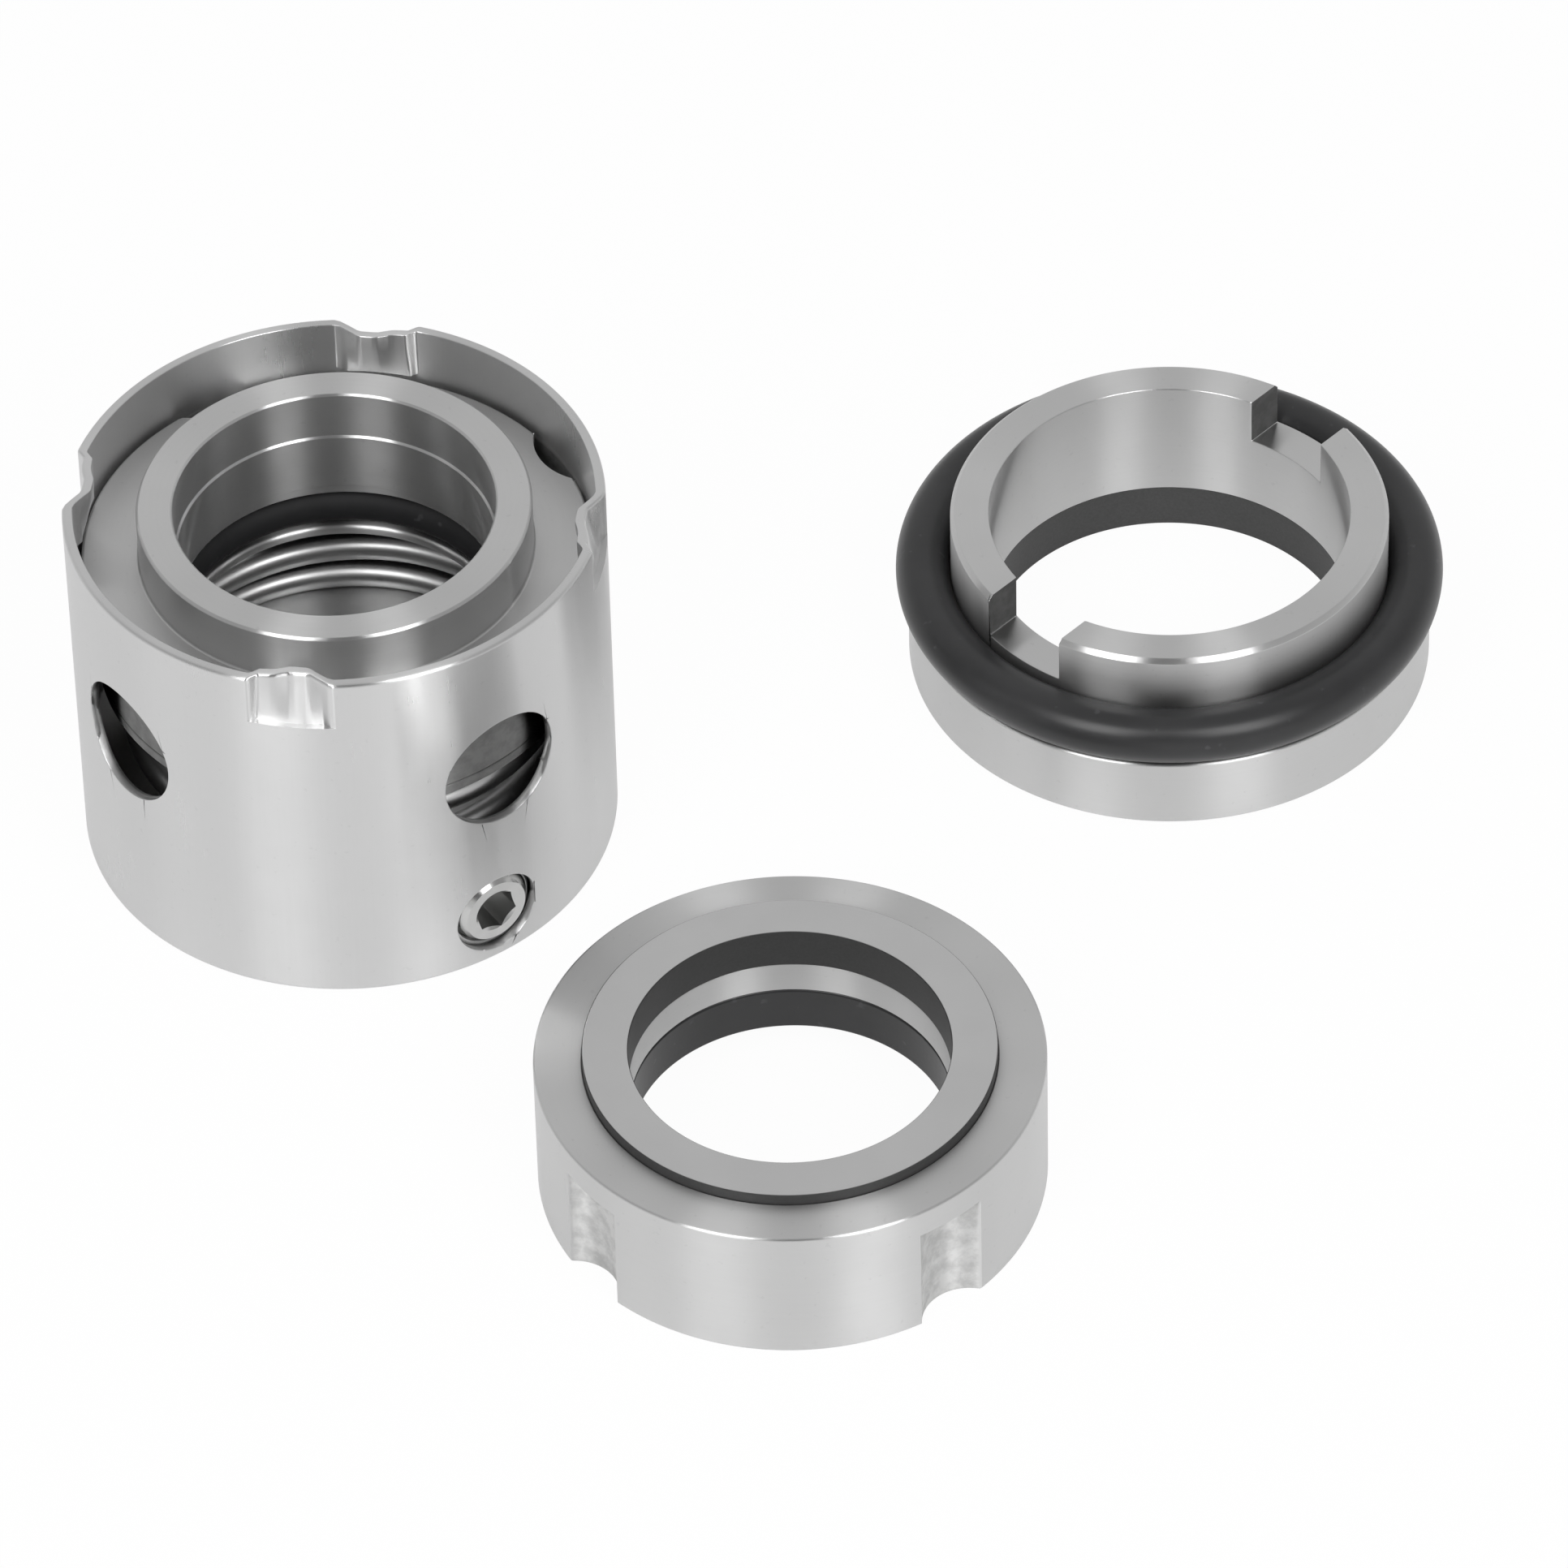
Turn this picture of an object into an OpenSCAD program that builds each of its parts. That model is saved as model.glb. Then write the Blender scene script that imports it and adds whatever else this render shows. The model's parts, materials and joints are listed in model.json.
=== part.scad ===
// Pump mechanical seal: a rotary unit, its rotary face ring and the stationary seat, laid out apart.
// Millimetres. The rotary unit stands on Z = 0 with its shaft axis on the Z axis.
// Angles round an axis are counted from -Y, positive towards +X.

/* [Shaft] */
// Diameter of the pump shaft
shaft_d = 30; // [29:0.5:31]
// Clearance per side of the rings that locate on the shaft
shaft_gap = 0.05; // [0.03:0.01:0.1]
// Clearance per side of the carrier ring's bore
carrier_gap = 0.1; // [0.06:0.01:0.2]
// Clearance per side that the drawn O-ring keeps from the shaft
seal_gap = 0.02; // [0.01:0.01:0.05]

/* [Layout] */
// Place of the rotary face ring along X
face_x = 41.7; // [40:0.1:60]
// Place of the rotary face ring along Y
face_y = -50.4; // [-70:0.1:-50]
// Place of the stationary seat along X
seat_x = 79.8; // [75:0.1:100]
// Place of the stationary seat along Y
seat_y = 19.4; // [0:0.1:40]

/* [Drive shell] */
// Thickness of the shell's sheet
shell_t = 1; // [0.8:0.1:1.1]
// Outside radius of the bend at the shell's base
shell_bend = 0.6; // [0.4:0.05:0.75]
// Width of the lip turned in under the drive collar
lip_w = 1.5; // [1:0.1:2.5]
// Height of the rim above the carrier's flange
crimp_h = 6; // [5:0.5:8]
// Diameter of the round windows
window_d = 12.4; // [11:0.2:13]
// Height of the window centres above the drive collar
window_rise = 13.5; // [12.5:0.1:14.5]
// Number of windows
window_n = 4; // [2:1:4]
// Angle of the first window
window_angle = 37; // [30:1:45]
// Diameter of the holes over the set screws
screw_window_d = 8.8; // [8.5:0.05:8.8]

/* [Crimps] */
// Number of crimps: stretches of the rim that are cut free below and pressed in
crimp_n = 4; // [2:1:4]
// Angle of the first crimp's middle
crimp_angle = -9; // [-14:1:-6]
// Width of a crimp along the outside of the shell
crimp_w = 8; // [7:0.1:9]
// Depth of a crimp at its deepest place
crimp_depth = 1.65; // [1.2:0.05:1.9]
// Distance along the wall from a crimp's middle to its deepest place
crimp_low = 1.4; // [0:0.1:2]

/* [Drive collar] */
// Height of the drive collar
collar_h = 10.3; // [10.1:0.1:11.5]
// Clearance per side of the collar in the shell
collar_gap = 0.05; // [0.02:0.01:0.1]
// Clearance per side of the collar's boss in the lip
boss_gap = 0.1; // [0.05:0.01:0.2]

/* [Set screws] */
// Thread diameter
screw_d = 8; // [7.5:0.1:8.2]
// Clearance per side between a screw and its tapped hole
thread_gap = 0.05; // [0.03:0.01:0.09]
// Length of a set screw
screw_len = 10; // [9:0.1:10.2]
// Distance from the shaft's surface to a screw's tip
tip_gap = 0.3; // [0.3:0.05:0.6]
// Height of the screws above the base
screw_z = 5.65; // [5.4:0.05:5.8]
// Angle of the first set screw
screw_angle = 34; // [30:1:38]
// Width across flats of the hexagon socket
socket_af = 4; // [3:0.5:5]
// Depth of the hexagon socket
socket_depth = 4.5; // [3:0.5:5]
// Diameter of the cup point
cup_d = 5; // [4:0.5:5.5]
// Depth of the cup point
cup_depth = 1.2; // [0.8:0.1:1.4]

/* [Coil spring] */
// Wire diameter
wire_d = 2.7; // [2.4:0.1:2.9]
// Mean diameter of the coil
spring_d = 40; // [38.5:0.5:42]
// Number of turns, left-hand
spring_turns = 2.5; // [2.2:0.1:2.6]
// Height of the room for the fitted spring
spring_room = 10.9; // [10.5:0.1:13]
// Angle of the wire's lower end
spring_start = 252; // [240:1:270]
// Clearance under and over the coil
spring_gap = 0.03; // [0.02:0.01:0.1]
// Share by which the end turns are closed up
spring_close = 0.6; // [0.5:0.05:0.62]

/* [Thrust ring] */
// Thickness of the thrust ring
thrust_t = 1.1; // [0.8:0.1:1.5]
// Clearance per side of the thrust ring on the shaft
thrust_gap = 0.4; // [0.2:0.05:0.6]

/* [Carrier ring] */
// Section of the shaft O-ring
shaft_cord_d = 4; // [3.5:0.1:4.2]
// Clearance that the drawn O-ring keeps in its groove
groove_gap = 0.05; // [0.02:0.01:0.1]
// Chamfer at the mouth of the O-ring groove's upper edge
groove_chamfer = 0.6; // [0.3:0.1:0.8]
// Clearance per side of the skirt in the shell
skirt_gap = 1.4; // [1.1:0.1:1.6]
// Height of the skirt under the flange
skirt_h = 8.7; // [8:0.1:9.5]
// Clearance per side of the flange in the shell
rim_gap = 0.5; // [0.3:0.05:0.7]
// Thickness of the flange
flange_t = 2.95; // [2:0.05:3.5]
// Gap between the flange and the crimps' lower edges
flange_gap = 0.05; // [0.03:0.01:0.1]
// Angle of the first notch in the flange
flange_angle = 30; // [26:1:34]
// Width of the notches in the flange
flange_notch_w = 8.4; // [7:0.1:9]
// Depth of the notches in the flange
flange_notch_depth = 1.7; // [1:0.1:2]
// Thickness of the nose's wall
nose_wall = 3.65; // [3.4:0.05:4]
// Height of the nose above the flange
nose_h = 5.55; // [5:0.05:6.5]
// Chamfer on the nose's outer edge
nose_chamfer = 0.25; // [0.2:0.05:0.6]
// Chamfer at the mouth of the bore
mouth_chamfer = 0.2; // [0.1:0.05:0.5]
// Extra radius of the wider bore in the nose
counter_step = 0.2; // [0.15:0.05:0.4]
// Depth of the wider bore in the nose
counter_depth = 5.2; // [4:0.1:6]
// Extra radius of the relief over the O-ring groove
relief_step = 0.15; // [0.1:0.05:0.3]
// Height of the relief over the O-ring groove
relief_h = 1.6; // [1.2:0.1:2]

/* [Rotary face ring] */
// Thickness of the holder's wall over the carrier's nose
holder_wall = 4.95; // [4.7:0.05:5.5]
// Clearance per side of the holder in the shell
holder_gap = 0.8; // [0.6:0.05:1]
// Clearance per side over the carrier's nose
nose_gap = 0.2; // [0.1:0.05:0.3]
// Depth of the recess that takes the carrier's nose and the gasket
recess_depth = 8.3; // [7.5:0.1:9]
// Thickness of the lip under the face insert
face_lip_t = 3.4; // [3:0.1:4]
// Depth of the pocket for the face insert
face_pocket = 3.1; // [2.5:0.1:3.5]
// Width of the lapped face, from bore to outside
face_w = 4.3; // [4:0.1:4.6]
// Thickness of the face insert
face_insert_t = 4.3; // [3.8:0.1:5]
// Clearance round the inserts in their pockets
insert_gap = 0.02; // [0.01:0.01:0.05]
// Thickness of the gasket in the bore
gasket_t = 4.95; // [4:0.05:5.5]
// Clearance per side of the gasket in its recess
gasket_gap = 0.05; // [0.02:0.01:0.1]
// Width of the four drive notches
notch_w = 7.5; // [7:0.1:8]
// Depth of the four drive notches
notch_depth = 2.15; // [2:0.05:2.3]
// Height of the drive notches above the holder's base
notch_h = 11.8; // [10:0.1:12.5]
// Angle of the first drive notch
notch_angle = -52.5; // [-60:0.5:-40]

/* [Stationary seat] */
// Diameter of the seat's bore
seat_bore_d = 35; // [34:0.1:36]
// Thickness of the wall of the seat's nose
seat_nose_wall = 3.75; // [3.5:0.05:4]
// Diameter of the seat's flange
seat_flange_d = 50.8; // [50:0.1:52]
// Thickness of the seat's flange
seat_flange_t = 7.6; // [7:0.05:8]
// Height of the nose above the flange
seat_nose_h = 9.85; // [9:0.05:12]
// Chamfer on the outer edge of the seat's end face
seat_nose_chamfer = 0.45; // [0.3:0.05:0.6]
// Width of the dark face insert, from bore to outside
seat_face_w = 3.5; // [3:0.1:3.7]
// Thickness of the dark face insert
seat_insert_t = 4.8; // [4:0.1:5.5]
// Height by which the face insert stands proud
seat_proud = 0.4; // [0.3:0.05:1]
// Width of the two drive-pin slots
slot_w = 9; // [8:0.1:10]
// Depth of the two drive-pin slots
slot_depth = 5; // [4.5:0.1:6]
// Angle of the first drive-pin slot
slot_angle = -44.6; // [-50:0.1:-40]
// Section of the seat's O-ring
seat_cord_d = 5.3; // [4.8:0.1:5.6]
// Clearance per side of the drawn O-ring on the nose
seat_cord_gap = 0.05; // [0.02:0.01:0.1]

/* [Edges] */
// Small chamfer on turned edges
edge = 0.3; // [0.2:0.05:0.4]
// Chamfer on the lapped faces' edges
lap_edge = 0.15; // [0.1:0.05:0.25]

/* [Hidden] */
$fn = 96;

// Length by which a cut runs past the material
past = 1;
// Sides of the spring wire's section and rings along one turn of it
wire_sides = 12;
wire_rings = 40;

// Radii shared by the shaft's fits
shaft_r = shaft_d / 2;
bore_r = shaft_r + shaft_gap;
carrier_bore_r = shaft_r + carrier_gap;

// Radius of a round notch from its width and depth
function notch_radius(width, depth) = (width * width / 4 + depth * depth) / (2 * depth);

// The rotary rings from the shaft outwards: nose, holder round it and shell round the holder
nose_r = carrier_bore_r + nose_wall;
recess_r = nose_r + nose_gap;
holder_r = recess_r + holder_wall;
shell_in_r = holder_r + holder_gap;

// Drive shell and collar
shell_r = shell_in_r + shell_t;
lip_in_r = shell_in_r - lip_w;
collar_r = shell_in_r - collar_gap;

// Heights of the stack, from the collar up
thrust_z = collar_h + spring_room;
carrier_z = thrust_z + thrust_t;
groove_h = shaft_cord_d + 2 * groove_gap;
flange_z = carrier_z + skirt_h;
flange_top = flange_z + flange_t;
nose_top = flange_top + nose_h;
crimp_z = flange_top + flange_gap;
window_z = collar_h + window_rise;

// Carrier ring
skirt_r = shell_in_r - skirt_gap;
flange_r = shell_in_r - rim_gap;
flange_notch_r = notch_radius(flange_notch_w, flange_notch_depth);

// Shaft O-ring and its groove
cord_in_r = shaft_r + seal_gap;
groove_r = cord_in_r + shaft_cord_d + groove_gap;

// Coil spring
wire_r = wire_d / 2;
spring_z0 = collar_h + spring_gap + wire_r;
spring_lift = spring_room - 2 * spring_gap - wire_d;
spring_count = round(wire_rings * spring_turns);

// Rotary face ring
lip_top = recess_depth + face_lip_t;
holder_h = lip_top + face_pocket;
face_insert_r = bore_r + face_w;
notch_r = notch_radius(notch_w, notch_depth);

// Stationary seat
seat_bore_r = seat_bore_d / 2;
seat_nose_r = seat_bore_r + seat_nose_wall;
seat_flange_top = seat_proud + seat_flange_t;
seat_top = seat_flange_top + seat_nose_h;
seat_insert_r = seat_bore_r + seat_face_w;
seat_cord_r = seat_nose_r + seat_cord_gap + seat_cord_d / 2;

// Turns about the axis to an angle, out to a radius and up to a height
module at(angle, radius, height) {
    rotate([0, 0, angle]) translate([0, -radius, height]) children();
}

// Round hole along a radius, from one radius out to another
module radial_hole(angle, height, diameter, from_r, to_r) {
    at(angle, from_r, height) rotate([90, 0, 0]) cylinder(d = diameter, h = to_r - from_r);
}

// Half section of the shell up to the crimps' lower edges: lip, bend and wall
module shell_section() {
    translate([lip_in_r, 0]) square([shell_r - shell_bend - lip_in_r, shell_t]);
    translate([shell_in_r, shell_bend]) square([shell_t, crimp_z - shell_bend]);
    translate([shell_r - shell_bend, shell_bend]) intersection() {
        circle(shell_bend);
        translate([0, -shell_bend]) square(shell_bend);
    }
}

// Point of a crimp's plan, along the wall from its middle and in from the shell's outside
function crimp_point(along, inward) = let (angle = along / shell_r * 180 / PI)
    (shell_r - inward) * [sin(angle), -cos(angle)];

// Upright wedge outside each crimp's two flats, set in by the sheet or not, past both ends of the rim
module crimp_wedges(inward) {
    deepest = crimp_point(crimp_low, crimp_depth + inward);
    near_end = crimp_point(-crimp_w / 2, inward);
    far_end = crimp_point(crimp_w / 2, inward);
    for (i = [0 : crimp_n - 1])
        at(crimp_angle + i * 360 / crimp_n, 0, crimp_z - past) linear_extrude(crimp_h + 2 * past)
            polygon([deepest, 2 * far_end - deepest, 2 * near_end - deepest]);
}

// Sheet above the crimps' lower edges, with the crimps pressed in
module shell_rim() {
    difference() {
        translate([0, 0, crimp_z]) cylinder(r = shell_r, h = crimp_h);
        difference() {
            translate([0, 0, crimp_z - past]) cylinder(r = shell_in_r, h = crimp_h + 2 * past);
            crimp_wedges(shell_t);
        }
        crimp_wedges(0);
    }
}

module drive_shell() {
    color("gainsboro") difference() {
        union() {
            rotate_extrude() shell_section();
            shell_rim();
        }
        for (i = [0 : window_n - 1])
            radial_hole(window_angle + i * 360 / window_n, window_z, window_d, skirt_r, shell_r + past);
        for (i = [0, 1])
            radial_hole(screw_angle + 180 * i, screw_z, screw_window_d, skirt_r, shell_r + past);
    }
}

module drive_collar() {
    color("silver") difference() {
        rotate_extrude() polygon([
            [bore_r, 0],
            [lip_in_r - boss_gap, 0],
            [lip_in_r - boss_gap, shell_t],
            [collar_r - edge, shell_t],
            [collar_r, shell_t + edge],
            [collar_r, collar_h - edge],
            [collar_r - edge, collar_h],
            [bore_r + edge, collar_h],
            [bore_r, collar_h - edge]
        ]);
        for (i = [0, 1])
            radial_hole(screw_angle + 180 * i, screw_z, screw_d + 2 * thread_gap, 0, shell_r + past);
    }
}

// Set screw with its tip at z = 0 and its socket up
module set_screw_body() {
    difference() {
        rotate_extrude() polygon([
            [0, 0],
            [screw_d / 2 - cup_depth, 0],
            [screw_d / 2, cup_depth],
            [screw_d / 2, screw_len - edge],
            [screw_d / 2 - edge, screw_len],
            [0, screw_len]
        ]);
        translate([0, 0, screw_len - socket_depth]) linear_extrude(socket_depth + past)
            circle(r = socket_af / 2 / cos(30), $fn = 6);
        rotate_extrude() polygon([[0, cup_depth], [cup_d / 2, 0], [cup_d / 2, -past], [0, -past]]);
    }
}

module set_screw(i) {
    color("lightgrey") at(screw_angle + 180 * i, shaft_r + tip_gap, screw_z)
        rotate([90, 0, 0]) set_screw_body();
}

// Share u of the way along the wire: its angle, and its height with the end turns closed up
function wire_angle(u) = spring_start - 360 * spring_turns * u;
function wire_z(u) = spring_z0 + spring_lift * (u - spring_close * sin(360 * u) / (2 * PI));
function wire_point(u, side) = [
    (spring_d / 2 + wire_r * cos(side)) * sin(wire_angle(u)),
    -(spring_d / 2 + wire_r * cos(side)) * cos(wire_angle(u)),
    wire_z(u) + wire_r * sin(side)
];

module coil_spring() {
    points = [
        for (k = [0 : spring_count]) for (j = [0 : wire_sides - 1])
            wire_point(k / spring_count, 360 * j / wire_sides)
    ];
    start_cap = [for (j = [0 : wire_sides - 1]) wire_sides - 1 - j];
    end_cap = [for (j = [0 : wire_sides - 1]) spring_count * wire_sides + j];
    sides = [
        for (k = [0 : spring_count - 1]) for (j = [0 : wire_sides - 1])
            let (a = k * wire_sides + j, b = k * wire_sides + (j + 1) % wire_sides)
                each [[a, b, b + wire_sides], [a, b + wire_sides, a + wire_sides]]
    ];
    color("dimgrey") polyhedron(points, concat([start_cap, end_cap], sides));
}

module thrust_ring() {
    color("silver") rotate_extrude() translate([shaft_r + thrust_gap, thrust_z])
        square([skirt_r - shaft_r - thrust_gap, thrust_t]);
}

module shaft_o_ring() {
    color("black") rotate_extrude()
        translate([cord_in_r + shaft_cord_d / 2, carrier_z + groove_gap + shaft_cord_d / 2])
            circle(d = shaft_cord_d);
}

module carrier_ring() {
    groove_top = carrier_z + groove_h;
    relief_r = carrier_bore_r + relief_step;
    counter_r = carrier_bore_r + counter_step;
    counter_z = nose_top - counter_depth;
    notch_axis = flange_r - flange_notch_depth + flange_notch_r;
    color("darkgrey") difference() {
        rotate_extrude() polygon([
            [groove_r, carrier_z],
            [skirt_r - edge, carrier_z],
            [skirt_r, carrier_z + edge],
            [skirt_r, flange_z],
            [flange_r, flange_z],
            [flange_r, flange_top - edge],
            [flange_r - edge, flange_top],
            [nose_r, flange_top],
            [nose_r, nose_top - nose_chamfer],
            [nose_r - nose_chamfer, nose_top],
            [counter_r + mouth_chamfer, nose_top],
            [counter_r, nose_top - mouth_chamfer],
            [counter_r, counter_z],
            [carrier_bore_r, counter_z - counter_step],
            [carrier_bore_r, groove_top + relief_h],
            [relief_r, groove_top + relief_h - relief_step],
            [relief_r, groove_top + groove_chamfer],
            [relief_r + groove_chamfer, groove_top],
            [groove_r, groove_top]
        ]);
        for (i = [0 : crimp_n - 1])
            at(flange_angle + i * 360 / crimp_n, notch_axis, flange_z - past)
                cylinder(r = flange_notch_r, h = flange_t + 2 * past);
    }
}

module face_holder() {
    pocket_r = face_insert_r + insert_gap;
    color("gainsboro") translate([face_x, face_y, 0]) difference() {
        rotate_extrude() polygon([
            [recess_r, 0],
            [holder_r - edge, 0],
            [holder_r, edge],
            [holder_r, holder_h - edge],
            [holder_r - edge, holder_h],
            [pocket_r, holder_h],
            [pocket_r, lip_top],
            [bore_r, lip_top],
            [bore_r, recess_depth],
            [recess_r, recess_depth]
        ]);
        for (i = [0 : crimp_n - 1])
            at(notch_angle + i * 360 / crimp_n, holder_r - notch_depth + notch_r, -past)
                cylinder(r = notch_r, h = notch_h + past);
    }
}

module face_insert() {
    face_top = lip_top + face_insert_t;
    color("whitesmoke") translate([face_x, face_y, 0]) rotate_extrude() polygon([
        [bore_r, lip_top],
        [face_insert_r, lip_top],
        [face_insert_r, face_top - lap_edge],
        [face_insert_r - lap_edge, face_top],
        [bore_r + lap_edge, face_top],
        [bore_r, face_top - lap_edge]
    ]);
}

module face_gasket() {
    color("black") translate([face_x, face_y, recess_depth - gasket_t]) rotate_extrude()
        translate([bore_r, 0]) square([recess_r - gasket_gap - bore_r, gasket_t]);
}

module seat_ring() {
    pocket_r = seat_insert_r + insert_gap;
    color("silver") translate([seat_x, seat_y, 0]) difference() {
        rotate_extrude() polygon([
            [pocket_r, seat_proud],
            [seat_flange_d / 2 - edge, seat_proud],
            [seat_flange_d / 2, seat_proud + edge],
            [seat_flange_d / 2, seat_flange_top - edge],
            [seat_flange_d / 2 - edge, seat_flange_top],
            [seat_nose_r, seat_flange_top],
            [seat_nose_r, seat_top - seat_nose_chamfer],
            [seat_nose_r - seat_nose_chamfer, seat_top],
            [seat_bore_r + edge, seat_top],
            [seat_bore_r, seat_top - edge],
            [seat_bore_r, seat_insert_t],
            [pocket_r, seat_insert_t]
        ]);
        for (i = [0, 1])
            at(slot_angle + 180 * i, seat_nose_r + past, seat_top - slot_depth)
                translate([-slot_w / 2, 0, 0])
                    cube([slot_w, seat_nose_r - seat_bore_r + 2 * past + edge, slot_depth + past]);
    }
}

module seat_insert() {
    color("dimgrey") translate([seat_x, seat_y, 0]) rotate_extrude() polygon([
        [seat_bore_r + lap_edge, 0],
        [seat_insert_r - lap_edge, 0],
        [seat_insert_r, lap_edge],
        [seat_insert_r, seat_insert_t],
        [seat_bore_r, seat_insert_t],
        [seat_bore_r, lap_edge]
    ]);
}

module seat_o_ring() {
    color("black") translate([seat_x, seat_y, seat_flange_top + seat_cord_d / 2]) rotate_extrude()
        translate([seat_cord_r, 0]) circle(d = seat_cord_d);
}

drive_shell();
drive_collar();
set_screw(0);  // set_screw_1
set_screw(1);  // set_screw_2
coil_spring();
thrust_ring();
shaft_o_ring();
carrier_ring();
face_holder();
face_insert();
face_gasket();
seat_ring();
seat_insert();
seat_o_ring();
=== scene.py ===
"""Pump mechanical seal: the rotary unit, its rotary face ring and the stationary seat.

Each piece is a fine mesh that stands for its CAD node, in metres, in the packed model's frame.
Angles round an axis are counted from -Y, positive towards +X.
"""

import json
import math
from collections import namedtuple

import bmesh
import bpy
from bpy.props import FloatProperty, FloatVectorProperty, IntProperty, PointerProperty
from mathutils import Matrix, Vector


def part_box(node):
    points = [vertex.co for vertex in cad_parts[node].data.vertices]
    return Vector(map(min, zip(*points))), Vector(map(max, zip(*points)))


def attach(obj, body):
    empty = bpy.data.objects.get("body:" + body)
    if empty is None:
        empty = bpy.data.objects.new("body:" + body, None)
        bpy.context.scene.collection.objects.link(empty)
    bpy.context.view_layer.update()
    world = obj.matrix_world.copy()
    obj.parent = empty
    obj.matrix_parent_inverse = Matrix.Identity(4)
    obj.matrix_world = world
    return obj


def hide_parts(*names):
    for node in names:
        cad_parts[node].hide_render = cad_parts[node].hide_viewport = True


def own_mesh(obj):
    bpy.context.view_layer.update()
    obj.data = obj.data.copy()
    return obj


bl_info = {
    "name": "Pump mechanical seal",
    "version": (1, 0, 0),
    "blender": (4, 5, 0),
    "location": "3D View > Sidebar > Seal",
    "description": "Builds a mechanical seal's pieces and a plain stage around its packed CAD model",
    "category": "Object",
}

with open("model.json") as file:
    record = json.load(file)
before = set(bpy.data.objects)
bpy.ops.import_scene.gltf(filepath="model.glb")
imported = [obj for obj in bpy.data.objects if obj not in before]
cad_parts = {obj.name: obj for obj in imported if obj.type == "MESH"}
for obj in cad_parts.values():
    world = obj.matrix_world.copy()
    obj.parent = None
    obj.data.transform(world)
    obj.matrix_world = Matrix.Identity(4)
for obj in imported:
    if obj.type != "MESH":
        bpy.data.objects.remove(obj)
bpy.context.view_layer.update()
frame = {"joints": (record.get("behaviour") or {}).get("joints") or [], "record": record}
MOUNTS = {mount["name"]: mount for mount in frame["record"]["mounts"]}

MM = 0.001
TAU = 2 * math.pi
# Columns round a turned piece, sides of a round cutter, and steps round a quarter of a rounded corner
ROUND_STEPS = 360
CUTTER_SIDES = 128
CORNER_STEPS = 5
# Edges sharper than this stay sharp in the shading
SHARP_ANGLE = math.radians(32)
# Cut edges sharper than this are rounded
EDGE_ANGLE = math.radians(40)
# How far a cutter reaches past what it cuts
CLEAR = MM


def labels(measure, what):
    """The name and the description of a measure of something."""
    texts = f"{what}: {measure}", f"{measure} of the {what}"
    return dict(zip(("name", "description"), (text[0].upper() + text[1:] for text in texts)))


def length(measure, what, millimetres):
    """A length that the sidebar shows, given in millimetres."""
    default = millimetres * MM
    return FloatProperty(**labels(measure, what), default=default, min=0, unit="LENGTH", precision=5)


def angle(what, degrees):
    """An angle that the sidebar shows, given in degrees."""
    return FloatProperty(**labels("angle", what), default=math.radians(degrees), subtype="ANGLE")


def number(name, description, value):
    """A plain number that the sidebar shows."""
    return FloatProperty(name=name, description=description, default=value, min=0)


def colour(name, description, red, green, blue):
    """A colour that the sidebar shows."""
    rgb = (red, green, blue)
    return FloatVectorProperty(
        name=name, description=description, default=rgb, min=0, max=1, size=3, subtype="COLOR"
    )


def bottom(node):
    """Height of a CAD node's lowest point."""
    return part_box(node)[0].z


def top(node):
    """Height of a CAD node's highest point."""
    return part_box(node)[1].z


def mount_radius(name):
    """Radius of a bore that the record lists."""
    return MOUNTS[name]["dims"]["r_mm"] * MM


def mount_place(name):
    """Point on the floor under a mount of the record."""
    x, y, _ = MOUNTS[name]["pos_m"]
    return Vector((x, y, 0))


class ShellSizes(bpy.types.PropertyGroup):
    """Sizes of the pressed drive shell"""

    radius: length("outside radius", "shell", 25.7)
    sheet: length("thickness", "sheet", 1)
    bend: length("outside radius", "bend at the base", 0.6)
    lip: length("width", "lip turned in under the collar", 1.5)
    rim: length("height", "rim above the lanced cuts", 5.4)
    rim_rounding: length("rounding", "rim's outer edge", 0.4)
    window_radius: length("radius", "round windows", 6.2)
    window_height: length("height", "window centres", 23.8)
    window_angle: angle("first window", 37)
    screw_hole_radius: length("radius", "holes over the set screws", 4.4)
    hole_edge: length("rounding", "punched edges", 0.12)
    crimp_angle: angle("first crimp's middle", -9)
    crimp_count: IntProperty(name="Crimps", description="Number of crimps in the rim", default=4, min=1)
    crimp_half: length("half width", "crimps along the wall", 4.2)
    crimp_depth: length("depth", "crimps at the rim", 1.65)
    crimp_foot: length("depth", "crimps at their lanced foot", 0.6)


class ScrewSizes(bpy.types.PropertyGroup):
    """Sizes of the collar and its set screws"""

    collar_radius: length("outside radius", "drive collar", 24.65)
    boss_radius: length("radius", "collar's boss inside the lip", 23.1)
    radius: length("outside radius", "screws' thread", 4)
    thread_gap: length("clearance", "screws in their holes", 0.05)
    pitch: length("pitch", "thread", 1.25)
    thread_depth: length("depth", "thread", 0.62)
    screw_length: length("length", "set screws", 10)
    tip: length("distance", "screws' tips from the shaft's axis", 15.3)
    height: length("height", "screws above the base", 5.65)
    first_angle: angle("first set screw", 34)
    socket: length("width across flats", "hexagon socket", 4)
    socket_depth: length("depth", "hexagon socket", 4.5)
    socket_turn: angle("socket about the screw's axis", 12)
    cup_radius: length("radius", "cup point's rim", 2.5)
    cup_depth: length("depth", "cup point", 1.2)
    tip_chamfer: length("chamfer", "screws' tips", 1.2)
    end_chamfer: length("chamfer", "screws' socket ends", 0.7)
    socket_chamfer: length("chamfer", "socket's mouth", 0.3)


class SpringSizes(bpy.types.PropertyGroup):
    """Sizes of the coil spring"""

    wire_radius: length("radius", "spring wire", 1.35)
    coil_radius: length("mean radius", "coil", 20)
    turns: number("Turns", "Number of turns, left-hand", 2.5)
    start: angle("wire's lower end", 252)
    closing: number("Closing", "Share by which the end turns close up", 0.6)


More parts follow.
